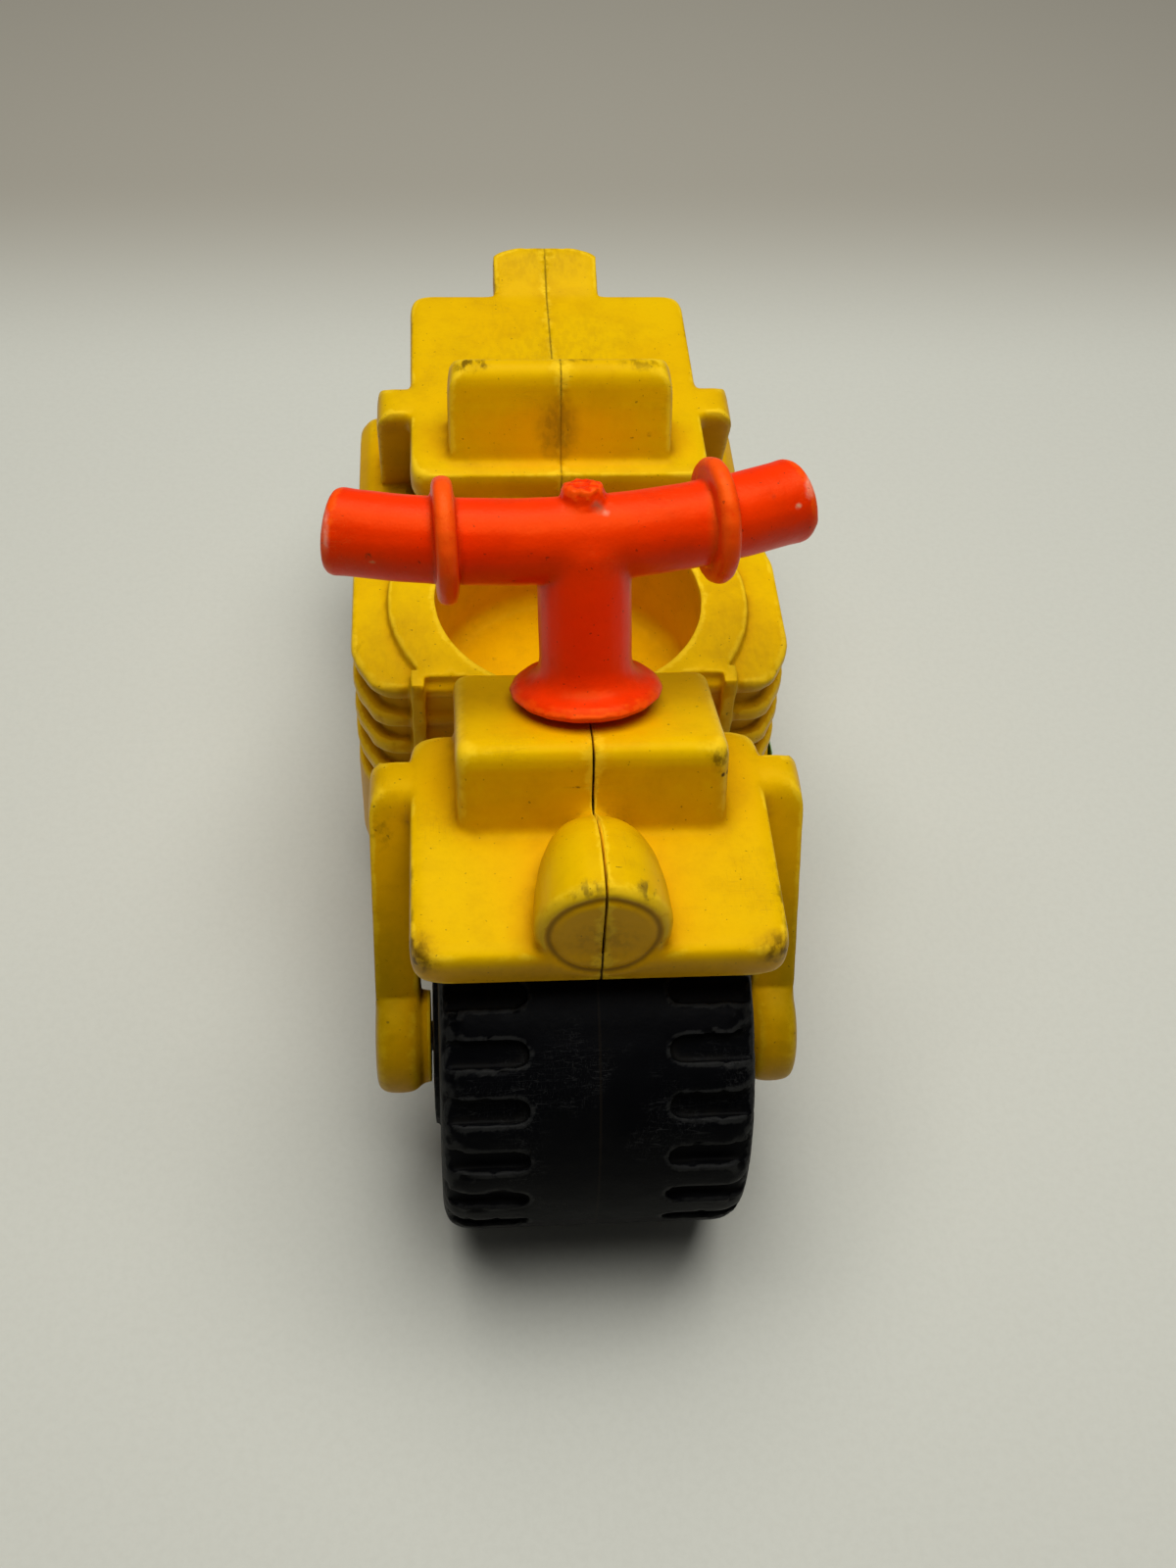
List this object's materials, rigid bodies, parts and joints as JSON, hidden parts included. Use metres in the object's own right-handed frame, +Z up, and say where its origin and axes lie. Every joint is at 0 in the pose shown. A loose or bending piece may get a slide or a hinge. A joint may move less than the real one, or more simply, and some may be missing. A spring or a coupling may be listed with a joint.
{
  "type": "toy motorcycle",
  "caption": "Chunky moulded toy motorcycle with a round well for a peg figure, a turning handlebar, and wide lugged wheels that roll on steel pins",
  "frame": {"origin": "on the ground under the middle of the machine's overall box", "axes": "+Z up, +Y to the rear so that the front wheel is at -Y, +X to the side that is on the right when the machine faces the viewer"},
  "size_m": [0.0513, 0.127, 0.0747],
  "materials": {
    "yellow_plastic": "worn satin moulding",
    "red_plastic": "worn satin moulding",
    "black_plastic": "matte tread, scuffed",
    "pin_steel": "drawn wire",
    "green_label": "plain printed film"
  },
  "bodies": {
    "chassis": {"left_body_half": "yellow_plastic", "right_body_half": "yellow_plastic", "front_axle": "pin_steel", "rear_axle": "pin_steel", "right_flank_label": "green_label"},
    "handlebar": {"handlebar": "red_plastic"},
    "front_wheel": {"front_wheel_left_half": "black_plastic", "front_wheel_right_half": "black_plastic"},
    "rear_wheel": {"rear_wheel_left_half": "black_plastic", "rear_wheel_right_half": "black_plastic"}
  },
  "joints": [
    {"name": "steering", "type": "hinge", "parent": "chassis", "child": "handlebar", "pos_m": [0, -0.02425, 0.0521], "axis": [0, 0.3633, 0.9317], "continuous": true},
    {"name": "front_wheel_spin", "type": "hinge", "parent": "chassis", "child": "front_wheel", "pos_m": [0, -0.04315, 0.0204], "axis": [1, 0, 0], "continuous": true},
    {"name": "rear_wheel_spin", "type": "hinge", "parent": "chassis", "child": "rear_wheel", "pos_m": [0, 0.04275, 0.0204], "axis": [1, 0, 0], "continuous": true}
  ]
}
